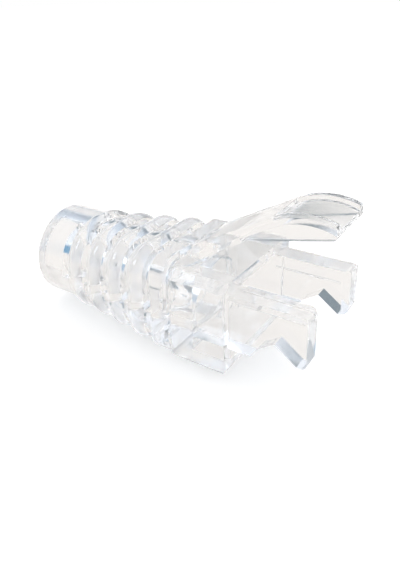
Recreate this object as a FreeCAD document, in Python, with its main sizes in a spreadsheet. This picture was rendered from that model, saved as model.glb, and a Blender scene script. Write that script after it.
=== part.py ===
import FreeCAD, Part
import math
import os
import Sketcher

# Slip-on strain relief boot for a modular data plug, moulded in one clear piece.
# +X points along the cable toward the plug, +Z points up through the latch guard,
# and X = 0 is the rear wall of the square housing. Heights are measured from the flat
# underside of the housing; the finished boot is then set down by bore_z, so that its
# origin lies on the line of the cable bore. Lengths are millimetres.

doc = FreeCAD.newDocument("strain_relief_boot")
sheet = doc.addObject("Spreadsheet::Sheet", "dims")

DRIVING = [
    # housing
    ("housing_len", 6.3), ("housing_wid", 14.0), ("housing_hgt", 9.7), ("housing_bevel", 0.9),
    ("housing_base_round", 0.5), ("housing_edge_round", 0.3),
    ("floor_thk", 1.3), ("roof_thk", 1.1), ("pocket_rear", 1.6), ("lower_rear", 2.3),
    ("lower_half_wid", 5.9),
    # cable bore and collar
    ("bore_r", 3.3), ("bore_z", 4.4), ("collar_r", 5.45), ("collar_len", 4.3), ("boot_rear", 20.5),
    # flexing ribs
    ("rib_pitch", 3.2), ("rib_len", 2.1), ("rib_crown_r", 1.6), ("rib_depth", 1.2), ("first_rib_x", 14.4),
    ("rib_z_step", 0.1),
    ("rib_half_wid_1", 5.95), ("rib_half_wid_2", 6.2), ("rib_half_wid_3", 6.5), ("rib_half_wid_4", 6.8),
    ("rib_half_hgt_1", 5.8), ("rib_half_hgt_2", 5.7), ("rib_half_hgt_3", 5.55), ("rib_half_hgt_4", 5.5),
    ("rib_corner_1", 5.5), ("rib_corner_2", 4.8), ("rib_corner_3", 3.9), ("rib_corner_4", 3.1),
    ("plate_half_wid", 6.95), ("plate_half_hgt", 5.4), ("plate_corner", 2.2), ("plate_len", 2.15),
    ("plate_gap", 0.5), ("plate_round", 0.3),
    ("core_drop", 0.62), ("core_corner_trim", 0.4),
    # relief slots between the ribs
    ("slot_gap", 1.1), ("slot_inner", 2.1), ("slot_floor", 3.7), ("slot_reach", 9.0), ("slot_top", 12.0),
    # plug arms
    ("arm_inner", 3.75), ("arm_outer", 6.35), ("arm_top", 8.42), ("arm_front", 14.2),
    ("arm_root", 3.2), ("block_low", 2.88), ("block_back", 5.45), ("step_back", 4.76), ("step_z", 3.94),
    ("notch_back", 3.06), ("notch_z", 5.07), ("hook_flat", 0.9), ("hook_low", 3.47),
    ("arm_top_bevel", 0.3), ("lead_in", 0.6), ("nose_round", 0.45),
    ("groove_z", 7.0), ("groove_wid", 0.16), ("groove_depth", 0.12), ("groove_stop", 0.85),
    # latch guard
    ("guard_half_wid", 3.3), ("guard_rear", 0.3), ("guard_rear_top", 11.0), ("guard_tip", 15.0),
    ("guard_arc_x", 12.4), ("guard_arc_r", 7.7), ("guard_peak", 16.5), ("guard_thk", 1.0),
    ("guard_root_front", 1.45), ("guard_side_thk", 0.75), ("dish_depth", 0.4),
    ("flange_low_x", 9.1), ("flange_low_z", 13.5), ("flange_tip_z", 14.85), ("flange_start_x", 6.6),
    ("guard_root_round", 0.8), ("guard_slope_deg", 28.5), ("guard_tip_round", 0.35),
    ("trim", 1.0), ("sink", 0.7),
]

# which point of a sketch line or arc a constraint takes
ENDS = {"start": 1, "end": 2}

DERIVED = [
    ("housing_half", "housing_wid / 2"),
    ("bevel_z", "housing_hgt - housing_bevel"),
    ("bevel_y", "housing_half - housing_bevel"),
    ("pocket_top", "housing_hgt - roof_thk"),
    ("lower_top", "block_low"),
    ("collar_front_x", "boot_rear - collar_len"),
    ("rib_x_1", "first_rib_x"),
    ("rib_x_2", "first_rib_x - rib_pitch"),
    ("rib_x_3", "first_rib_x - 2 * rib_pitch"),
    ("rib_x_4", "first_rib_x - 3 * rib_pitch"),
    ("rib_z_1", "bore_z"),
    ("rib_z_2", "bore_z + rib_z_step"),
    ("rib_z_3", "bore_z + 2 * rib_z_step"),
    ("rib_z_4", "bore_z + 3 * rib_z_step"),
    ("rib_crown_drop", "rib_crown_r - sqrt(rib_crown_r ^ 2 - (rib_len / 2) ^ 2)"),
] + [
    (name % n, text.replace("#", str(n)))
    for n in (1, 2, 3, 4)
    for name, text in (
        ("rib_back_%d", "rib_x_# + rib_len / 2"),
        ("rib_fore_%d", "rib_x_# - rib_len / 2"),
        ("rib_flat_%d", "rib_half_wid_# - rib_corner_#"),
        ("rib_bottom_%d", "rib_z_# - rib_half_hgt_#"),
        ("rib_inner_%d", "rib_bottom_# + rib_depth"),
        ("rib_shoulder_%d", "rib_bottom_# + rib_crown_drop"),
        ("rib_arc_z_%d", "rib_bottom_# + rib_crown_r"))
] + [
    ("plate_z", "housing_hgt / 2"),
    ("plate_x", "plate_gap + plate_len"),
    ("core_rear_half", "rib_half_wid_1 - core_drop"),
    ("core_rear_corner", "core_rear_half - 0.05"),
    ("core_front_wid", "plate_half_wid - core_drop"),
    ("core_front_hgt", "housing_hgt / 2 - 0.05"),
    ("core_front_corner", "plate_corner - core_corner_trim"),
    ("slot_x_1", "first_rib_x + rib_pitch / 2"),
    ("slot_x_2", "first_rib_x - rib_pitch / 2"),
    ("slot_x_3", "first_rib_x - 3 * rib_pitch / 2"),
    ("slot_x_4", "first_rib_x - 5 * rib_pitch / 2"),
    ("slot_x_5", "(rib_x_4 - rib_len / 2 + plate_x) / 2"),
    ("slot_half", "slot_gap / 2"),
    ("slot_center_y", "slot_inner + slot_half"),
    ("arm_thk", "arm_outer - arm_inner"),
    ("block_end", "arm_front - block_back"),
    ("step_x", "arm_front - step_back"),
    ("notch_x", "arm_front - notch_back"),
    ("hook_x", "arm_front - hook_flat"),
    ("groove_end", "arm_front - groove_stop"),
    ("guard_arc_z", "guard_peak - guard_arc_r"),
    ("guard_sin", "sin(guard_slope_deg * 1deg)"),
    ("guard_cos", "cos(guard_slope_deg * 1deg)"),
    ("ramp_end_x", "guard_arc_x - guard_arc_r * guard_sin"),
    ("ramp_end_z", "guard_arc_z + guard_arc_r * guard_cos"),
    ("tip_dx", "guard_tip - guard_arc_x"),
    ("tip_top_z", "guard_arc_z + sqrt(guard_arc_r ^ 2 - tip_dx ^ 2)"),
    ("under_r", "guard_arc_r - guard_thk"),
    ("under_end_x", "guard_arc_x - under_r * guard_sin"),
    ("under_end_z", "guard_arc_z + under_r * guard_cos"),
    ("past_tip", "guard_tip + trim"),
    ("past_dx", "past_tip - guard_arc_x"),
    ("under_past_z", "guard_arc_z + sqrt(under_r ^ 2 - past_dx ^ 2)"),
    ("under_back_x", "flange_start_x - trim"),
    ("under_back_z", "under_end_z - (under_end_x - under_back_x) * guard_sin / guard_cos"),
    ("under_low_z", "under_back_z - 0.2"),
    ("flange_start_z", "flange_low_z - 0.5"),
    ("dish_r", "guard_arc_r - dish_depth"),
    ("dish_end_x", "guard_arc_x - dish_r * guard_sin"),
    ("dish_end_z", "guard_arc_z + dish_r * guard_cos"),
    ("dish_past_z", "guard_arc_z + sqrt(dish_r ^ 2 - past_dx ^ 2)"),
    ("dish_high_z", "guard_peak + trim"),
    ("dish_wid", "2 * guard_half_wid - 2 * guard_side_thk"),
    ("guard_base_z", "housing_hgt - sink"),
    ("guard_wid", "2 * guard_half_wid"),
]

row = 1
for alias, value in DRIVING:
    sheet.set("A%d" % row, alias)
    sheet.set("B%d" % row, str(value))
    sheet.setAlias("B%d" % row, alias)
    row += 1
for alias, formula in DERIVED:
    sheet.set("A%d" % row, alias)
    sheet.set("B%d" % row, "=" + formula)
    sheet.setAlias("B%d" % row, alias)
    row += 1
doc.recompute()


def number(name):
    """Value of a sheet cell; a leading minus sign turns it round."""
    if name == "0":
        return 0.0
    if name.startswith("-"):
        return -number(name[1:])
    value = sheet.get(name)
    return float(getattr(value, "Value", value))


def formula(name):
    """Expression that reads the same cell from another object."""
    if name == "0":
        return "0"
    if name.startswith("-"):
        return "-dims." + name[1:]
    return "dims." + name


def new_body(label):
    """Empty body that holds one feature of the moulding."""
    return doc.addObject("PartDesign::Body", label)


def origin_plane(body, role):
    """Base plane of a body, found by its role."""
    for feature in body.Origin.OriginFeatures:
        if feature.Role == role:
            return feature
    raise ValueError(role)


def new_sketch(body, name, role, offset="0"):
    """Sketch laid on a base plane of the body, moved along its normal."""
    sketch = body.newObject("Sketcher::SketchObject", name)
    sketch.AttachmentSupport = [(origin_plane(body, role), "")]
    sketch.MapMode = "FlatFace"
    if offset != "0":
        sketch.AttachmentOffset = FreeCAD.Placement(
            FreeCAD.Vector(0, 0, number(offset)), FreeCAD.Rotation())
        sketch.setExpression("AttachmentOffset.Base.z", formula(offset))
    return sketch


def pin(sketch, geometry, point, x_name, y_name):
    """Hold one point of the sketch at two cells of the sheet."""
    for kind, name in (("DistanceX", x_name), ("DistanceY", y_name)):
        if name == "0":
            other = -2 if kind == "DistanceX" else -1
            sketch.addConstraint(Sketcher.Constraint("PointOnObject", geometry, point, other))
        else:
            index = sketch.addConstraint(
                Sketcher.Constraint(kind, -1, 1, geometry, point, number(name)))
            sketch.setExpression("Constraints[%d]" % index, formula(name))


def polygon(sketch, corners):
    """Closed outline of straight edges; each corner is two cell names."""
    points = [FreeCAD.Vector(number(x), number(y), 0) for x, y in corners]
    for i, start in enumerate(points):
        sketch.addGeometry(Part.LineSegment(start, points[(i + 1) % len(points)]), False)
    for i in range(len(points)):
        sketch.addConstraint(Sketcher.Constraint("Coincident", i, 2, (i + 1) % len(points), 1))
    for i, (x, y) in enumerate(corners):
        pin(sketch, i, 1, x, y)


def arc_outline(sketch, corners, arc_after, center, radius, upward=True):
    """Closed outline with one arc, which follows the corner number arc_after."""
    points = [FreeCAD.Vector(number(x), number(y), 0) for x, y in corners]
    middle = FreeCAD.Vector(number(center[0]), number(center[1]), 0)
    count = len(points)
    for i, start in enumerate(points):
        end = points[(i + 1) % count]
        if i == arc_after:
            circle = Part.Circle(middle, FreeCAD.Vector(0, 0, 1), number(radius))
            turns = [math.atan2(end.y - middle.y, end.x - middle.x),
                     math.atan2(start.y - middle.y, start.x - middle.x)]
            if not upward:
                turns.reverse()
            sketch.addGeometry(Part.ArcOfCircle(circle, *turns), False)
        else:
            sketch.addGeometry(Part.LineSegment(start, end), False)
    for i in range(count):
        tail = 1 if i == arc_after and upward else 2
        head = 2 if (i + 1) % count == arc_after and upward else 1
        sketch.addConstraint(Sketcher.Constraint("Coincident", i, tail, (i + 1) % count, head))
    for i, (x, y) in enumerate(corners):
        if i == (arc_after + 1) % count:
            continue
        pin(sketch, i, 2 if i == arc_after and upward else 1, x, y)
    pin(sketch, arc_after, 3, center[0], center[1])
    after = (arc_after + 1) % count
    index = sketch.addConstraint(
        Sketcher.Constraint("DistanceX", -1, 1, after, 1, number(corners[after][0])))
    sketch.setExpression("Constraints[%d]" % index, formula(corners[after][0]))


def rounded_box(sketch, half_wid, half_hgt, corner, mid_z):
    """Rectangle with four equal round corners about a point on the middle plane."""
    a, b, r, z = number(half_wid), number(half_hgt), number(corner), number(mid_z)
    ends = [((-a + r, z - b), (a - r, z - b)), ((a, z - b + r), (a, z + b - r)),
            ((a - r, z + b), (-a + r, z + b)), ((-a, z + b - r), (-a, z - b + r))]
    for start, end in ends:
        sketch.addGeometry(
            Part.LineSegment(FreeCAD.Vector(*start, 0), FreeCAD.Vector(*end, 0)), False)
    middles = [(a - r, z - b + r, -90), (a - r, z + b - r, 0), (-a + r, z + b - r, 90),
               (-a + r, z - b + r, 180)]
    for x, y, turn in middles:
        circle = Part.Circle(FreeCAD.Vector(x, y, 0), FreeCAD.Vector(0, 0, 1), r)
        start = math.radians(turn)
        sketch.addGeometry(Part.ArcOfCircle(circle, start, start + math.pi / 2), False)
    for i in range(4):
        sketch.addConstraint(Sketcher.Constraint("Tangent", i, 2, 4 + i, 1))
        sketch.addConstraint(Sketcher.Constraint("Tangent", 4 + i, 2, (i + 1) % 4, 1))
    sketch.addConstraint(Sketcher.Constraint("Horizontal", 0))
    sketch.addConstraint(Sketcher.Constraint("Horizontal", 2))
    sketch.addConstraint(Sketcher.Constraint("Vertical", 1))
    sketch.addConstraint(Sketcher.Constraint("Vertical", 3))
    for i in (5, 6, 7):
        sketch.addConstraint(Sketcher.Constraint("Equal", 4, i))
    bounds = [
        (Sketcher.Constraint("Radius", 4, r), "dims.%s" % corner),
        (Sketcher.Constraint("DistanceX", -1, 1, 1, 1, a), "dims.%s" % half_wid),
        (Sketcher.Constraint("DistanceX", 3, 1, -1, 1, a), "dims.%s" % half_wid),
        (Sketcher.Constraint("DistanceY", -1, 1, 2, 1, z + b), "dims.%s + dims.%s" % (mid_z, half_hgt)),
        (Sketcher.Constraint("DistanceY", -1, 1, 0, 1, z - b), "dims.%s - dims.%s" % (mid_z, half_hgt)),
    ]
    for constraint, expression in bounds:
        index = sketch.addConstraint(constraint)
        sketch.setExpression("Constraints[%d]" % index, expression)


def pad(body, name, sketch, length, both_ways=False, backward=False):
    """Extrude a sketch; the length is a cell of the sheet."""
    feature = body.newObject("PartDesign::Pad", name)
    feature.Profile = sketch
    feature.Length = number(length)
    feature.setExpression("Length", formula(length))
    feature.Midplane = both_ways
    feature.Reversed = backward
    doc.recompute()
    return feature


def edges_where(feature, test):
    """Names of the edges whose two ends pass a test."""
    found = []
    for i, edge in enumerate(feature.Shape.Edges):
        if all(test(vertex.Point) for vertex in edge.Vertexes):
            found.append("Edge%d" % (i + 1))
    return found


def dress(body, kind, name, base, edges, size):
    """Fillet or chamfer on chosen edges; the size is a cell of the sheet."""
    feature = body.newObject("PartDesign::" + kind, name)
    feature.Base = (base, edges)
    prop = "Radius" if kind == "Fillet" else "Size"
    setattr(feature, prop, number(size))
    feature.setExpression(prop, formula(size))
    doc.recompute()
    return feature


def near(a, b):
    """True when two lengths match to a micron."""
    return abs(a - b) < 1e-3


# ---- collar and tapering core ----------------------------------------------------------
collar = doc.addObject("Part::Cylinder", "collar")
collar.setExpression("Radius", "dims.collar_r")
collar.setExpression("Height", "dims.boot_rear - dims.slot_x_1 + dims.slot_half")
collar.Placement = FreeCAD.Placement(
    FreeCAD.Vector(-number("boot_rear"), 0, number("bore_z")),
    FreeCAD.Rotation(FreeCAD.Vector(0, 1, 0), 90))
collar.setExpression("Placement.Base.x", "-dims.boot_rear")
collar.setExpression("Placement.Base.z", "dims.bore_z")

core = new_body("core")
core_rear = new_sketch(core, "core_rear", "YZ_Plane", "-rib_x_1")
rounded_box(core_rear, "core_rear_half", "core_rear_half", "core_rear_corner", "bore_z")
core_front = new_sketch(core, "core_front", "YZ_Plane")
rounded_box(core_front, "core_front_wid", "core_front_hgt", "core_front_corner", "plate_z")
core_loft = core.newObject("PartDesign::AdditiveLoft", "core_loft")
core_loft.Profile = core_rear
core_loft.Sections = [core_front]
core_loft.Ruled = True
doc.recompute()

neck = new_body("neck")
neck_rear = new_sketch(neck, "neck_rear", "YZ_Plane", "-collar_front_x")
index = neck_rear.addGeometry(Part.Circle(
    FreeCAD.Vector(0, number("bore_z"), 0), FreeCAD.Vector(0, 0, 1), number("collar_r")), False)
pin(neck_rear, 0, 3, "0", "bore_z")
index = neck_rear.addConstraint(Sketcher.Constraint("Radius", 0, number("collar_r")))
neck_rear.setExpression("Constraints[%d]" % index, "dims.collar_r")
neck_front = new_sketch(neck, "neck_front", "YZ_Plane", "-rib_x_1")
neck_front.addGeometry(Part.Circle(
    FreeCAD.Vector(0, number("bore_z"), 0), FreeCAD.Vector(0, 0, 1), number("core_rear_half")), False)
pin(neck_front, 0, 3, "0", "bore_z")
index = neck_front.addConstraint(Sketcher.Constraint("Radius", 0, number("core_rear_half")))
neck_front.setExpression("Constraints[%d]" % index, "dims.core_rear_half")
neck_loft = neck.newObject("PartDesign::AdditiveLoft", "neck_loft")
neck_loft.Profile = neck_rear
neck_loft.Sections = [neck_front]
neck_loft.Ruled = True
doc.recompute()

# ---- ribs ------------------------------------------------------------------------------
rib_bodies = []
for n in (1, 2, 3, 4):
    # each rib is a crowned bar swept round the rounded outline of the tapering neck
    rib = new_body("rib_%d" % n)
    outline = new_sketch(rib, "rib_outline_%d" % n, "YZ_Plane", "-rib_x_%d" % n)
    rounded_box(outline, "rib_half_wid_%d" % n, "rib_half_hgt_%d" % n, "rib_corner_%d" % n,
                "rib_z_%d" % n)
    section = new_sketch(rib, "rib_section_%d" % n, "XZ_Plane", "rib_flat_%d" % n)
    arc_outline(section,
                [("-rib_back_%d" % n, "rib_inner_%d" % n), ("-rib_back_%d" % n, "rib_shoulder_%d" % n),
                 ("-rib_fore_%d" % n, "rib_shoulder_%d" % n), ("-rib_fore_%d" % n, "rib_inner_%d" % n)],
                1, ("-rib_x_%d" % n, "rib_arc_z_%d" % n), "rib_crown_r", upward=False)
    ring = rib.newObject("PartDesign::AdditivePipe", "rib_ring_%d" % n)
    ring.Profile = section
    ring.Spine = (outline, ["Edge%d" % (i + 1) for i in range(8)])
    doc.recompute()
    rib_bodies.append(rib)

plate = new_body("end_plate")
plate_outline = new_sketch(plate, "plate_outline", "YZ_Plane", "-plate_gap")
rounded_box(plate_outline, "plate_half_wid", "plate_half_hgt", "plate_corner", "plate_z")
plate_ring = pad(plate, "plate_ring", plate_outline, "plate_len", backward=True)
dress(plate, "Chamfer", "plate_crown", plate_ring,
      ["Edge%d" % (i + 1) for i, e in enumerate(plate_ring.Shape.Edges)
       if near(e.Vertexes[0].Point.x, e.Vertexes[-1].Point.x)], "plate_round")
rib_bodies.append(plate)

# ---- housing ---------------------------------------------------------------------------
housing = new_body("housing")
house_outline = new_sketch(housing, "house_outline", "YZ_Plane")
polygon(house_outline, [("-housing_half", "0"), ("housing_half", "0"), ("housing_half", "bevel_z"),
                        ("bevel_y", "housing_hgt"), ("-bevel_y", "housing_hgt"),
                        ("-housing_half", "bevel_z")])
house_block = pad(housing, "house_block", house_outline, "housing_len")
half = number("housing_half")
lower_edges = edges_where(house_block, lambda p: near(p.z, 0) and near(abs(p.y), half))
house_base = dress(housing, "Fillet", "house_base", house_block, lower_edges, "housing_base_round")
upright = []
for i, edge in enumerate(house_base.Shape.Edges):
    ends = [v.Point for v in edge.Vertexes]
    if all(near(abs(p.y), half) for p in ends) and near(ends[0].x, ends[-1].x):
        upright.append("Edge%d" % (i + 1))
dress(housing, "Fillet", "house_uprights", house_base, upright, "housing_edge_round")

# ---- plug arms -------------------------------------------------------------------------
arm_bodies = []
for side, name in ((1, "far_arm"), (-1, "near_arm")):
    arm = new_body(name)
    # the XZ base plane faces -Y, so the arm starts on its outer face
    offset = "-arm_outer" if side > 0 else "-arm_inner"
    if side < 0:
        offset = "arm_inner"
    profile = new_sketch(arm, name + "_profile", "XZ_Plane", offset)
    polygon(profile, [("arm_root", "arm_top"), ("arm_root", "block_low"), ("block_end", "block_low"),
                      ("step_x", "step_z"), ("notch_x", "notch_z"), ("hook_x", "hook_low"),
                      ("arm_front", "hook_low"), ("arm_front", "arm_top")])
    bar = pad(arm, name + "_bar", profile, "arm_thk")
    out_y = side * number("arm_outer")
    in_y = side * number("arm_inner")
    top = number("arm_top")
    front = number("arm_front")
    low = number("hook_low")
    crown = dress(arm, "Chamfer", name + "_bevel", bar,
                  edges_where(bar, lambda p: near(p.z, top) and near(p.y, out_y)), "arm_top_bevel")
    lead = dress(arm, "Chamfer", name + "_lead_in", crown,
                 edges_where(crown, lambda p: near(p.x, front) and near(p.y, in_y)), "lead_in")
    nose_edges = []
    for i, edge in enumerate(lead.Shape.Edges):
        ends = [v.Point for v in edge.Vertexes]
        if all(near(p.x, front) for p in ends) and near(ends[0].z, ends[-1].z):
            nose_edges.append("Edge%d" % (i + 1))
    dress(arm, "Fillet", name + "_nose", lead, nose_edges, "nose_round")
    arm_bodies.append(arm)

# ---- latch guard -----------------------------------------------------------------------
guard = new_body("latch_guard")
guard_side = new_sketch(guard, "guard_side", "XZ_Plane")
arc_outline(guard_side,
            [("guard_rear", "guard_base_z"), ("guard_rear", "guard_rear_top"),
             ("ramp_end_x", "ramp_end_z"), ("guard_tip", "tip_top_z"), ("guard_tip", "flange_tip_z"),
             ("flange_low_x", "flange_low_z"), ("flange_start_x", "flange_start_z"),
             ("guard_root_front", "housing_hgt"), ("guard_root_front", "guard_base_z")],
            2, ("guard_arc_x", "guard_arc_z"), "guard_arc_r")
guard_blank = pad(guard, "guard_blank", guard_side, "guard_wid", both_ways=True)
root_x = number("guard_rear")
root_z = number("guard_rear_top")
tip_x = number("guard_tip")
guard_root = dress(guard, "Fillet", "guard_root", guard_blank,
                   edges_where(guard_blank, lambda p: near(p.x, root_x) and near(p.z, root_z)),
                   "guard_root_round")
tip_edges = []
for i, edge in enumerate(guard_root.Shape.Edges):
    ends = [v.Point for v in edge.Vertexes]
    if all(near(p.x, tip_x) for p in ends) and near(ends[0].z, ends[-1].z):
        tip_edges.append("Edge%d" % (i + 1))
dress(guard, "Fillet", "guard_tip_edges", guard_root, tip_edges, "guard_tip_round")

hollow_side = new_sketch(guard, "hollow_side", "XZ_Plane")
arc_outline(hollow_side,
            [("under_back_x", "under_low_z"), ("under_back_x", "under_back_z"),
             ("under_end_x", "under_end_z"), ("past_tip", "under_past_z"), ("past_tip", "under_low_z")],
            2, ("guard_arc_x", "guard_arc_z"), "under_r")
hollow = guard.newObject("PartDesign::Pocket", "guard_hollow")
hollow.Profile = hollow_side
hollow.Type = "Length"
hollow.Length = number("dish_wid")
hollow.setExpression("Length", "dims.dish_wid")
hollow.Midplane = True
doc.recompute()

dish_side = new_sketch(guard, "dish_side", "XZ_Plane")
arc_outline(dish_side,
            [("dish_end_x", "dish_high_z"), ("dish_end_x", "dish_end_z"), ("past_tip", "dish_past_z"),
             ("past_tip", "dish_high_z")],
            1, ("guard_arc_x", "guard_arc_z"), "dish_r")
dish = guard.newObject("PartDesign::Pocket", "guard_dish")
dish.Profile = dish_side
dish.Type = "Length"
dish.Length = number("dish_wid")
dish.setExpression("Length", "dims.dish_wid")
dish.Midplane = True
doc.recompute()

# ---- join the solid parts --------------------------------------------------------------
joined = doc.addObject("Part::MultiFuse", "joined")
joined.Shapes = [collar, neck, core] + rib_bodies + [housing, guard]

# ---- hollows ---------------------------------------------------------------------------
bore = doc.addObject("Part::Cylinder", "cable_bore")
bore.setExpression("Radius", "dims.bore_r")
bore.setExpression("Height", "dims.boot_rear + dims.pocket_rear + 2 * dims.trim")
bore.Placement = FreeCAD.Placement(
    FreeCAD.Vector(-number("boot_rear") - number("trim"), 0, number("bore_z")),
    FreeCAD.Rotation(FreeCAD.Vector(0, 1, 0), 90))
bore.setExpression("Placement.Base.x", "-dims.boot_rear - dims.trim")
bore.setExpression("Placement.Base.z", "dims.bore_z")

pocket = doc.addObject("Part::Box", "plug_pocket")
pocket.setExpression("Length", "dims.housing_len - dims.pocket_rear + dims.trim")
pocket.setExpression("Width", "2 * dims.arm_inner")
pocket.setExpression("Height", "dims.pocket_top - dims.floor_thk")
pocket.setExpression("Placement.Base.x", "dims.pocket_rear")
pocket.setExpression("Placement.Base.y", "-dims.arm_inner")
pocket.setExpression("Placement.Base.z", "dims.floor_thk")

lower = doc.addObject("Part::Box", "lower_pocket")
lower.setExpression("Length", "dims.housing_len - dims.lower_rear + dims.trim")
lower.setExpression("Width", "2 * dims.lower_half_wid")
lower.setExpression("Height", "dims.lower_top - dims.floor_thk")
lower.setExpression("Placement.Base.x", "dims.lower_rear")
lower.setExpression("Placement.Base.y", "-dims.lower_half_wid")
lower.setExpression("Placement.Base.z", "dims.floor_thk")

# a fine step line runs along the inner face of each arm
groove = doc.addObject("Part::Box", "arm_grooves")
groove.setExpression("Length", "dims.groove_end - dims.housing_len + dims.trim")
groove.setExpression("Width", "2 * dims.arm_inner + 2 * dims.groove_depth")
groove.setExpression("Height", "dims.groove_wid")
groove.setExpression("Placement.Base.x", "dims.housing_len - dims.trim")
groove.setExpression("Placement.Base.y", "-dims.arm_inner - dims.groove_depth")
groove.setExpression("Placement.Base.z", "dims.groove_z")

slot_bodies = []
for n in (1, 2, 3, 4, 5):
    for side in (1, -1):
        slot = new_body("slot_%d_%s" % (n, "left" if side > 0 else "right"))
        plan = new_sketch(slot, slot.Name + "_plan", "XY_Plane", "slot_floor")
        x0 = -number("slot_x_%d" % n)
        y0 = side * number("slot_center_y")
        w = number("slot_half")
        reach = side * number("slot_reach")
        up = 1 if side > 0 else -1
        plan.addGeometry(Part.LineSegment(
            FreeCAD.Vector(x0 - w, y0, 0), FreeCAD.Vector(x0 - w, reach, 0)), False)
        plan.addGeometry(Part.LineSegment(
            FreeCAD.Vector(x0 - w, reach, 0), FreeCAD.Vector(x0 + w, reach, 0)), False)
        plan.addGeometry(Part.LineSegment(
            FreeCAD.Vector(x0 + w, reach, 0), FreeCAD.Vector(x0 + w, y0, 0)), False)
        circle = Part.Circle(FreeCAD.Vector(x0, y0, 0), FreeCAD.Vector(0, 0, 1), w)
        if side > 0:
            plan.addGeometry(Part.ArcOfCircle(circle, math.pi, 2 * math.pi), False)
            arc_left, arc_right = "start", "end"
        else:
            plan.addGeometry(Part.ArcOfCircle(circle, 0, math.pi), False)
            arc_left, arc_right = "end", "start"
        plan.addConstraint(Sketcher.Constraint("Coincident", 0, 2, 1, 1))
        plan.addConstraint(Sketcher.Constraint("Coincident", 1, 2, 2, 1))
        plan.addConstraint(Sketcher.Constraint("Tangent", 0, 1, 3, ENDS[arc_left]))
        plan.addConstraint(Sketcher.Constraint("Tangent", 2, 2, 3, ENDS[arc_right]))
        plan.addConstraint(Sketcher.Constraint("Vertical", 0))
        plan.addConstraint(Sketcher.Constraint("Horizontal", 1))
        pin(plan, 3, 3, "-slot_x_%d" % n, "slot_center_y" if side > 0 else "-slot_center_y")
        index = plan.addConstraint(Sketcher.Constraint("Radius", 3, w))
        plan.setExpression("Constraints[%d]" % index, "dims.slot_half")
        index = plan.addConstraint(Sketcher.Constraint("DistanceY", -1, 1, 1, 1, reach))
        plan.setExpression("Constraints[%d]" % index, formula("slot_reach" if side > 0 else "-slot_reach"))
        pad(slot, slot.Name + "_cut", plan, "slot_top")
        slot_bodies.append(slot)

hollows = doc.addObject("Part::MultiFuse", "hollows")
hollows.Shapes = [bore, pocket, lower] + slot_bodies

shell = doc.addObject("Part::Cut", "shell")
shell.Base = joined
shell.Tool = hollows

arms = doc.addObject("Part::MultiFuse", "arms")
arms.Shapes = arm_bodies

grooved_arms = doc.addObject("Part::Cut", "grooved_arms")
grooved_arms.Base = arms
grooved_arms.Tool = groove

boot = doc.addObject("Part::MultiFuse", "boot")
boot.Shapes = [shell, grooved_arms]
boot.Label = "boot"
boot.setExpression("Placement.Base.z", "-dims.bore_z")
doc.recompute()

for item in doc.Objects:
    if "Invalid" in item.State or "Error" in item.State:
        raise RuntimeError("%s: %s" % (item.Name, item.State))
    if hasattr(item, "Shape") and item.TypeId.startswith(("Part", "PartDesign")):
        if item.Shape.isNull():
            raise RuntimeError("%s has no shape" % item.Name)
        if item.TypeId != "Sketcher::SketchObject" and not item.Shape.isValid():
            raise RuntimeError("%s is not valid" % item.Name)

if len(boot.Shape.Solids) != 1:
    raise RuntimeError("the boot is %d solids" % len(boot.Shape.Solids))

os.makedirs("parts", exist_ok=True)
boot.Shape.exportStep("parts/boot.step")
box = boot.Shape.BoundBox
print("boot volume %.2f area %.2f" % (boot.Shape.Volume, boot.Shape.Area))
print("box", box)
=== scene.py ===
"""Looks of a clear moulded strain relief boot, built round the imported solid."""

import logging
import math
from dataclasses import dataclass, field
from enum import Enum
from typing import Dict, List, Tuple, Union

import bmesh
import bpy
from mathutils import Matrix, Vector

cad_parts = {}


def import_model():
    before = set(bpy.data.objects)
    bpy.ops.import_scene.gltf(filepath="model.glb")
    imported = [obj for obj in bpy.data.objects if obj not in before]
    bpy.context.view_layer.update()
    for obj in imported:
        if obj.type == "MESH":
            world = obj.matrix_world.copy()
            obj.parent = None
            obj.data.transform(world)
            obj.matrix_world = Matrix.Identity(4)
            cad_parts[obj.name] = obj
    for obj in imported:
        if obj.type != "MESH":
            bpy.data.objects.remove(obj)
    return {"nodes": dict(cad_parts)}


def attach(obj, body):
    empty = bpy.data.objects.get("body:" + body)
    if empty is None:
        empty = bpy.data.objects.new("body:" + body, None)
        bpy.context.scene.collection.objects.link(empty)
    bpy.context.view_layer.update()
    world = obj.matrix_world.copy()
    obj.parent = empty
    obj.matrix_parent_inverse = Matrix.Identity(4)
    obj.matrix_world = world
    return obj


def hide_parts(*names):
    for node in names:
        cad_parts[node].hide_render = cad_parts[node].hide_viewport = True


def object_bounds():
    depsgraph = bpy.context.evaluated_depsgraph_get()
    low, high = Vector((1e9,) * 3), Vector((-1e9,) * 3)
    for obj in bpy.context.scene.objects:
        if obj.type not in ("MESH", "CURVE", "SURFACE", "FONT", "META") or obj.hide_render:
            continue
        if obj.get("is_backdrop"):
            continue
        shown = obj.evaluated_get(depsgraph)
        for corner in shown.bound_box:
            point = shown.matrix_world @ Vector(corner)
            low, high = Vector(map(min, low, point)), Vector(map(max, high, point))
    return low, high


LOG = logging.getLogger("boot")
MM = 0.001

Colour = Tuple[float, float, float]
Place = Tuple[float, float, float]
Socket = bpy.types.NodeSocket
Value = Union[Socket, float, Tuple[float, ...]]


class RayKind(Enum):
    """Kinds of ray that the studio answers in their own way."""

    CAMERA = "Is Camera Ray"
    GLOSSY = "Is Glossy Ray"
    TRANSMISSION = "Is Transmission Ray"


class PathCount(Enum):
    """Counts that a light path keeps of what it has met."""

    TURNS = "Glossy Depth"
    SPREADS = "Diffuse Depth"
    STEPS = "Ray Depth"


def toward(turn: float, rise: float) -> Vector:
    """Unit direction, by its turn from the near side toward the front and its rise above level."""
    flat = math.cos(rise)
    return Vector((math.sin(turn) * flat, -math.cos(turn) * flat, math.sin(rise)))


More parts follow.
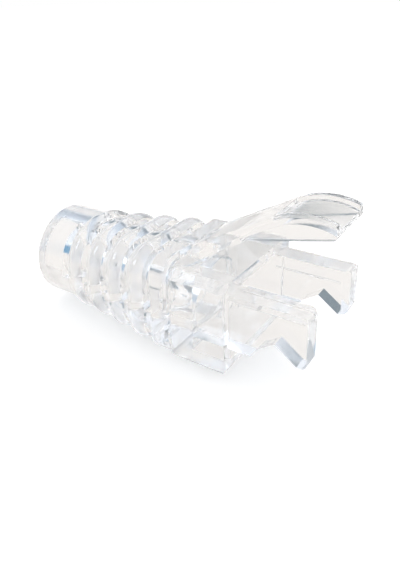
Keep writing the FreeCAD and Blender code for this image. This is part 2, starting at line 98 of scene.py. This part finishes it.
class NodeTree:
    """Small helper that adds and links shader nodes."""

    def __init__(self, tree: bpy.types.NodeTree) -> None:
        """Empty the tree and keep it."""
        tree.nodes.clear()
        self.tree = tree

    def add(self, kind: str, **inputs: Value) -> bpy.types.Node:
        """Add one node and set its plain inputs.

        Args:
            kind: The node's type name.
            **inputs: Plain values by input, with underscores for the spaces in its name.

        Returns:
            The new node.
        """
        node = self.tree.nodes.new(kind)
        for name, value in inputs.items():
            node.inputs[name.replace("_", " ")].default_value = value
        return node

    def feed(self, value: Value, target: Socket) -> None:
        """Link a socket to an input, or set the input to a plain value.

        Args:
            value: An output socket or a plain value.
            target: The input.
        """
        if isinstance(value, Socket):
            self.tree.links.new(value, target)
        else:
            target.default_value = value

    def math(self, operation: str, first: Value, second: Value) -> Socket:
        """Add a Math node.

        Args:
            operation: What it works out, such as MULTIPLY or MAXIMUM.
            first: A socket or a number.
            second: A socket or a number.

        Returns:
            The result's socket.
        """
        node = self.add("ShaderNodeMath")
        node.operation = operation
        self.feed(first, node.inputs[0])
        self.feed(second, node.inputs[1])
        return node.outputs[0]

    def ramp(self, value: Socket, low: float, high: float) -> Socket:
        """Add a soft step from zero at one value to one at another.

        Args:
            value: The signal.
            low: Where the step is zero.
            high: Where the step is one.

        Returns:
            The step's socket.
        """
        turned = low > high
        node = self.add("ShaderNodeMapRange", From_Min=min(low, high), From_Max=max(low, high),
                        To_Min=float(turned), To_Max=float(not turned))
        node.interpolation_type = "SMOOTHSTEP"
        self.feed(value, node.inputs["Value"])
        return node.outputs[0]

    def mix(self, factor: Socket, first: Value, second: Value) -> Socket:
        """Add a Mix Color node.

        Args:
            factor: How much of the second colour shows.
            first: A colour or its socket.
            second: A colour or its socket.

        Returns:
            The mixed colour's socket.
        """
        node = self.add("ShaderNodeMix")
        node.data_type = "RGBA"
        self.feed(factor, node.inputs[0])
        ends = [slot for slot in node.inputs if slot.type == "RGBA"]
        for slot, value in zip(ends, (first, second)):
            self.feed(value if isinstance(value, Socket) else (*value, 1.0), slot)
        return [slot for slot in node.outputs if slot.type == "RGBA"][0]

    def blend(self, factor: Socket, first: bpy.types.Node,
              second: bpy.types.Node) -> bpy.types.Node:
        """Add a Mix Shader node.

        Args:
            factor: How much of the second shader shows.
            first: A shader.
            second: A shader.

        Returns:
            The mixed shader.
        """
        node = self.add("ShaderNodeMixShader")
        self.feed(factor, node.inputs[0])
        self.feed(first.outputs[0], node.inputs[1])
        self.feed(second.outputs[0], node.inputs[2])
        return node

    def rays(self, *kinds: RayKind) -> Socket:
        """Signal that is one for the given kinds of ray.

        Args:
            *kinds: The kinds of ray to answer.

        Returns:
            The signal's socket.
        """
        path = self.add("ShaderNodeLightPath")
        signal = path.outputs[kinds[0].value]
        for kind in kinds[1:]:
            signal = self.math("MAXIMUM", signal, path.outputs[kind.value])
        return signal

    def past(self, limits: Dict[PathCount, float]) -> Socket:
        """Signal that is one for a light path past any of the limits.

        Args:
            limits: The limit for each count.

        Returns:
            The signal's socket.
        """
        path = self.add("ShaderNodeLightPath")
        first, *others = (self.math("GREATER_THAN", path.outputs[count.value], limit)
                          for count, limit in limits.items())
        for other in others:
            first = self.math("MAXIMUM", first, other)
        return first

    def finish(self, output: str, shader: bpy.types.Node) -> None:
        """Add an output node of the named type and give it the shader to show."""
        self.feed(shader.outputs[0], self.add(output).inputs["Surface"])


@dataclass(frozen=True)
class ClearPlastic:
    """Polished clear moulding with a faint warm body.

    A light path inside it is followed for a set number of steps, then the plastic itself glows
    the pale white of the room: painted glow in place of the light the renderer would drop as a
    dark patch.
    """

    name: str = "clear_plastic"
    colour: Colour = (1.0, 0.998, 0.995)
    refraction: float = 1.48
    clearness: float = 0.93
    clearest: float = 0.02
    cloudiest: float = 0.11
    cloud_size: float = 3.0 * MM
    cloud_layers: float = 3.0
    cloud_range: Tuple[float, float] = (0.35, 0.7)
    flow_size: Place = (4.0 * MM, 0.9 * MM, 0.9 * MM)
    flow_layers: float = 1.0
    flow_depth: float = 0.006 * MM
    # Limits on turns, spreads and steps past which the plastic shows the painted glow instead of
    # its own shader.
    turns_kept: float = 3.5
    spreads_kept: float = 1.5
    steps_kept: float = 11.5
    # Colour of the painted glow: the plastic itself emits it at strength one once a path is past
    # the limits.
    room: Colour = (0.97, 0.98, 1.0)

    def clouding(self, tree: NodeTree) -> Socket:
        """Add the haze that comes and goes over the surface.

        Args:
            tree: The material's nodes.

        Returns:
            The roughness.
        """
        place = tree.add("ShaderNodeTexCoord")
        cloud = tree.add("ShaderNodeTexNoise", Scale=1.0 / self.cloud_size,
                         Detail=self.cloud_layers)
        haze = tree.add("ShaderNodeMapRange", From_Min=self.cloud_range[0],
                        From_Max=self.cloud_range[1], To_Min=self.clearest,
                        To_Max=self.cloudiest)
        tree.feed(place.outputs["Object"], cloud.inputs["Vector"])
        tree.feed(cloud.outputs[0], haze.inputs["Value"])
        return haze.outputs[0]

    def flow_marks(self, tree: NodeTree) -> Socket:
        """Add the shallow waves that the plastic leaves as it flows along the mould.

        Args:
            tree: The material's nodes.

        Returns:
            The shading normal.
        """
        place = tree.add("ShaderNodeTexCoord")
        stretch = tree.add("ShaderNodeMapping", Scale=tuple(1.0 / size for size in self.flow_size))
        wave = tree.add("ShaderNodeTexNoise", Scale=1.0, Detail=self.flow_layers)
        bump = tree.add("ShaderNodeBump", Strength=1.0, Distance=self.flow_depth)
        tree.feed(place.outputs["Object"], stretch.inputs["Vector"])
        tree.feed(stretch.outputs[0], wave.inputs["Vector"])
        tree.feed(wave.outputs[0], bump.inputs["Height"])
        return bump.outputs[0]

    def surface(self, tree: NodeTree) -> bpy.types.Node:
        """Add the plastic's own shader.

        Args:
            tree: The material's nodes.

        Returns:
            The shader.
        """
        shader = tree.add("ShaderNodeBsdfPrincipled", Base_Color=(*self.colour, 1.0),
                          IOR=self.refraction, Transmission_Weight=self.clearness)
        tree.feed(self.clouding(tree), shader.inputs["Roughness"])
        tree.feed(self.flow_marks(tree), shader.inputs["Normal"])
        return shader

    def material(self) -> bpy.types.Material:
        """Make the material.

        Returns:
            The new material.
        """
        material = bpy.data.materials.new(self.name)
        material.use_nodes = True
        tree = NodeTree(material.node_tree)
        # Mask of the light paths past the limits, where the plastic shows the painted glow.
        glow_past_limits = tree.past({PathCount.TURNS: self.turns_kept,
                           PathCount.SPREADS: self.spreads_kept,
                           PathCount.STEPS: self.steps_kept})
        # Painted glow: an emission in the plastic that stands in for the light the renderer would
        # drop.
        room = tree.add("ShaderNodeEmission", Color=(*self.room, 1.0), Strength=1.0)
        tree.finish("ShaderNodeOutputMaterial", tree.blend(glow_past_limits, self.surface(tree), room))
        return material


@dataclass(frozen=True)
class PaleFloor:
    """Matt white floor that keeps a soft shadow, and shows plain and pale in clear plastic."""

    name: str = "pale_floor"
    colour: Colour = (0.9, 0.9, 0.9)
    white: Colour = (1.0, 1.0, 1.0)
    lift: float = 0.3
    clear_colour: Colour = (0.975, 0.94, 0.905)
    clear_share: float = 0.8

    def matt(self, tree: NodeTree) -> bpy.types.Node:
        """Add the matt surface, lifted to white for the camera alone.

        Args:
            tree: The material's nodes.

        Returns:
            The shader.
        """
        matt = tree.add("ShaderNodeBsdfDiffuse", Color=(*self.colour, 1.0))
        glow = tree.add("ShaderNodeEmission", Color=(*self.white, 1.0))
        lit = tree.add("ShaderNodeAddShader")
        tree.feed(tree.math("MULTIPLY", tree.rays(RayKind.CAMERA), self.lift),
                  glow.inputs["Strength"])
        tree.feed(matt.outputs[0], lit.inputs[0])
        tree.feed(glow.outputs[0], lit.inputs[1])
        return lit

    def material(self) -> bpy.types.Material:
        """Make the material.

        Returns:
            The new material.
        """
        material = bpy.data.materials.new(self.name)
        material.use_nodes = True
        tree = NodeTree(material.node_tree)
        plain = tree.add("ShaderNodeEmission", Color=(*self.clear_colour, 1.0), Strength=1.0)
        through = tree.math("MULTIPLY", tree.rays(RayKind.GLOSSY, RayKind.TRANSMISSION),
                            self.clear_share)
        tree.finish("ShaderNodeOutputMaterial", tree.blend(through, self.matt(tree), plain))
        return material


@dataclass
class BootMoulding:
    """The one-piece boot: its solid welded, softened at the edges and smoothed."""

    node: str = "boot"
    piece: str = "boot_moulding"
    weld: float = 0.002 * MM
    flat_turn: float = math.radians(0.5)
    edge_round: float = 0.08 * MM
    edge_steps: int = 2
    edge_turn: float = math.radians(32.0)
    narrow: float = 0.2 * MM
    smooth_turn: float = math.radians(32.0)
    finish: ClearPlastic = field(default_factory=ClearPlastic)

    def copy_solid(self, solid: bpy.types.Object) -> bpy.types.Object:
        """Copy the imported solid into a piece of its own.

        Args:
            solid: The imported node's object.

        Returns:
            The new piece, selected alone and active.
        """
        bpy.ops.object.select_all(action="DESELECT")
        piece = bpy.data.objects.new(self.piece, solid.data.copy())
        piece.data.name = self.piece
        bpy.context.collection.objects.link(piece)
        piece.select_set(True)
        bpy.context.view_layer.objects.active = piece
        return piece

    def join_faces(self) -> None:
        """Weld the loose triangles and merge those that lie in one plane."""
        bpy.ops.object.mode_set(mode="EDIT")
        bpy.ops.mesh.select_all(action="SELECT")
        bpy.ops.mesh.remove_doubles(threshold=self.weld)
        bpy.ops.mesh.customdata_custom_splitnormals_clear()
        bpy.ops.mesh.select_all(action="SELECT")
        bpy.ops.mesh.dissolve_limited(angle_limit=self.flat_turn)
        bpy.ops.object.mode_set(mode="OBJECT")

    def rounds(self, edge: bmesh.types.BMEdge) -> bool:
        """Whether a mould would leave an edge slightly round.

        Edges of strips too narrow to take the rounding, such as the score line's, stay sharp.

        Args:
            edge: An edge of the welded mesh.

        Returns:
            True for an edge to round.
        """
        if not edge.is_manifold or edge.calc_face_angle() <= self.edge_turn:
            return False
        widths = (face.calc_area() / max(side.calc_length() for side in face.edges)
                  for face in edge.link_faces)
        return min(widths) > self.narrow

    def mark_crisp_edges(self, mesh: bpy.types.Mesh) -> None:
        """Weight the edges that are to be rounded.

        Args:
            mesh: The welded mesh.
        """
        shape = bmesh.new()
        shape.from_mesh(mesh)
        marks = [float(self.rounds(edge)) for edge in shape.edges]
        shape.free()
        weights = mesh.attributes.new("bevel_weight_edge", "FLOAT", "EDGE")
        weights.data.foreach_set("value", marks)

    def soften(self, piece: bpy.types.Object) -> None:
        """Shade the piece smoothly and round its crisp edges, as a mould does.

        Args:
            piece: The welded piece.
        """
        bpy.ops.object.shade_smooth_by_angle(angle=self.smooth_turn)
        self.mark_crisp_edges(piece.data)
        bevel = piece.modifiers.new("soft_edges", "BEVEL")
        bevel.width = self.edge_round
        bevel.segments = self.edge_steps
        bevel.limit_method = "WEIGHT"
        bevel.use_clamp_overlap = True
        bevel.miter_outer = "MITER_ARC"
        bevel.harden_normals = True
        bpy.ops.object.modifier_apply(modifier=bevel.name)

    def dress(self, piece: bpy.types.Object) -> None:
        """Give the piece its finish."""
        piece.data.materials.clear()
        piece.data.materials.append(self.finish.material())

    def build(self, solids: Dict[str, bpy.types.Object]) -> bpy.types.Object:
        """Build and dress the boot.

        Args:
            solids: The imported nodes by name.

        Returns:
            The finished piece.
        """
        piece = self.copy_solid(solids[self.node])
        self.join_faces()
        self.soften(piece)
        self.dress(piece)
        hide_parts("boot")
        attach(piece, "root")
        return piece


@dataclass(frozen=True)
class SoftPanel:
    """Round soft-edged panel in the surround, as gloss and clear plastic show it."""

    colour: Colour
    turn: float
    rise: float
    half: float
    core: float = 0.6

    def signal(self, tree: NodeTree, direction: Socket) -> Socket:
        """Signal that is one toward the panel.

        Args:
            tree: The world's nodes.
            direction: The direction looked in.

        Returns:
            The signal's socket.
        """
        near = tree.add("ShaderNodeVectorMath")
        near.operation = "DOT_PRODUCT"
        near.inputs[1].default_value = toward(self.turn, self.rise)
        tree.feed(direction, near.inputs[0])
        return tree.ramp(near.outputs["Value"], math.cos(self.half),
                         math.cos(self.half * self.core))


@dataclass
class Studio:
    """Pale floor and soft surround.

    Most rays meet plain white light. Gloss and clear plastic meet a soft room, with a band of side
    walls between the floor and the overhead, dim low behind the object, and two panels.
    """

    floor_size: float = 3.0
    white: Colour = (1.0, 1.0, 1.0)
    fill: float = 1.0
    overhead: Colour = (0.93, 0.98, 1.06)
    side_band: Colour = (0.6, 0.7, 0.83)
    band_foot: float = math.radians(0.0)
    band_top: float = math.radians(25.5)
    band_edge: float = math.radians(6.0)
    room: Colour = (0.1, 0.16, 0.2)
    room_half: float = math.radians(55.0)
    room_core: float = 0.6
    lamp: SoftPanel = SoftPanel(colour=(3.6, 4.1, 4.8), turn=math.radians(-41.0),
                                rise=math.radians(36.0), half=math.radians(12.0))
    cool_panel: SoftPanel = SoftPanel(colour=(0.12, 0.36, 0.6), turn=math.radians(-42.0),
                                      rise=math.radians(11.0), half=math.radians(14.0))

    def lay_floor(self, height: float) -> bpy.types.Object:
        """Lay the floor under the object.

        Args:
            height: The floor's height.

        Returns:
            The floor.
        """
        bpy.ops.object.select_all(action="DESELECT")
        bpy.ops.mesh.primitive_plane_add(size=self.floor_size, location=(0.0, 0.0, height))
        floor = bpy.context.object
        floor.name = "floor"
        floor.data.materials.append(PaleFloor().material())
        floor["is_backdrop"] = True
        return floor

    def soft_room(self, tree: NodeTree) -> Socket:
        """Add the room that gloss and clear plastic see.

        Args:
            tree: The world's nodes.

        Returns:
            The room's colour in each direction.
        """
        direction = tree.add("ShaderNodeTexCoord").outputs["Generated"]
        split = tree.add("ShaderNodeSeparateXYZ")
        tree.feed(direction, split.inputs[0])
        above = tree.ramp(split.outputs["Z"], math.sin(self.band_foot),
                          math.sin(self.band_foot + self.band_edge))
        below = tree.ramp(split.outputs["Z"], math.sin(self.band_top + self.band_edge),
                          math.sin(self.band_top))
        behind = tree.ramp(split.outputs["Y"], math.cos(self.room_half),
                           math.cos(self.room_half * self.room_core))
        walls = tree.mix(behind, self.side_band, self.room)
        colour = tree.mix(tree.math("MULTIPLY", above, below), self.overhead, walls)
        for panel in (self.lamp, self.cool_panel):
            colour = tree.mix(panel.signal(tree, direction), colour, panel.colour)
        return colour

    def light_surround(self) -> bpy.types.World:
        """Fill the world with plain light, and with the soft room for gloss and clear plastic.

        Returns:
            The world.
        """
        world = bpy.data.worlds.new("surround")
        bpy.context.scene.world = world
        world.use_nodes = True
        tree = NodeTree(world.node_tree)
        seen = tree.add("ShaderNodeBackground")
        tree.feed(self.soft_room(tree), seen.inputs["Color"])
        plain = tree.add("ShaderNodeBackground", Color=(*self.white, 1.0), Strength=self.fill)
        through = tree.rays(RayKind.GLOSSY, RayKind.TRANSMISSION)
        tree.finish("ShaderNodeOutputWorld", tree.blend(through, plain, seen))
        return world

    def build(self, height: float) -> None:
        """Set the studio up round the object.

        Args:
            height: The height that the object stands on.
        """
        floor = self.lay_floor(height)
        LOG.info("%s: at %.1f mm", floor.name, height / MM)
        world = self.light_surround()
        LOG.info("%s: plain light at %.1f", world.name, self.fill)


@dataclass(frozen=True)
class ViewCamera:
    """Camera that looks down on the boot from its near front side."""

    place: Place = (28.4 * MM, -43.4 * MM, 29.7 * MM)
    azimuth: float = math.radians(33.42)
    elevation: float = math.radians(22.64)
    roll: float = math.radians(-1.21)
    lens: float = 34.52
    sensor: float = 36.0
    shift: Tuple[float, float] = (-0.0075, -0.1146)
    nearest: float = 1.0 * MM
    farthest: float = 100.0

    def pose(self) -> Matrix:
        """Work out where the camera stands and how it is turned.

        Returns:
            The camera's matrix.
        """
        back = toward(self.azimuth, self.elevation)
        right = Vector((math.cos(self.azimuth), math.sin(self.azimuth), 0.0))
        up = back.cross(right)
        across = math.cos(self.roll) * right + math.sin(self.roll) * up
        upward = math.cos(self.roll) * up - math.sin(self.roll) * right
        turned = Matrix((across, upward, back)).transposed().to_4x4()
        return Matrix.Translation(self.place) @ turned

    def build(self) -> bpy.types.Object:
        """Make the camera and set it as the scene's.

        Returns:
            The camera.
        """
        data = bpy.data.cameras.new("view_camera")
        data.lens = self.lens
        data.sensor_width = self.sensor
        data.shift_x, data.shift_y = self.shift
        data.clip_start = self.nearest
        data.clip_end = self.farthest
        camera = bpy.data.objects.new("view_camera", data)
        bpy.context.collection.objects.link(camera)
        camera.matrix_world = self.pose()
        bpy.context.scene.camera = camera
        return camera


def main(solids: Dict[str, bpy.types.Object], solid_box: Tuple[Vector, Vector]) -> None:
    """Build the boot, the studio and the camera.

    Args:
        solids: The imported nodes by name.
        solid_box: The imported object's box.
    """
    bpy.context.scene.view_settings.view_transform = "Standard"
    boot = BootMoulding().build(solids)
    LOG.info("%s: %d faces", boot.name, len(boot.data.polygons))
    Studio().build(solid_box[0].z)
    camera = ViewCamera().build()
    LOG.info("%s: lens %.1f mm", camera.name, camera.data.lens)


if __name__ == "__main__":
    logging.basicConfig(level=logging.INFO)
    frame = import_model()
    main(frame["nodes"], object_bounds())
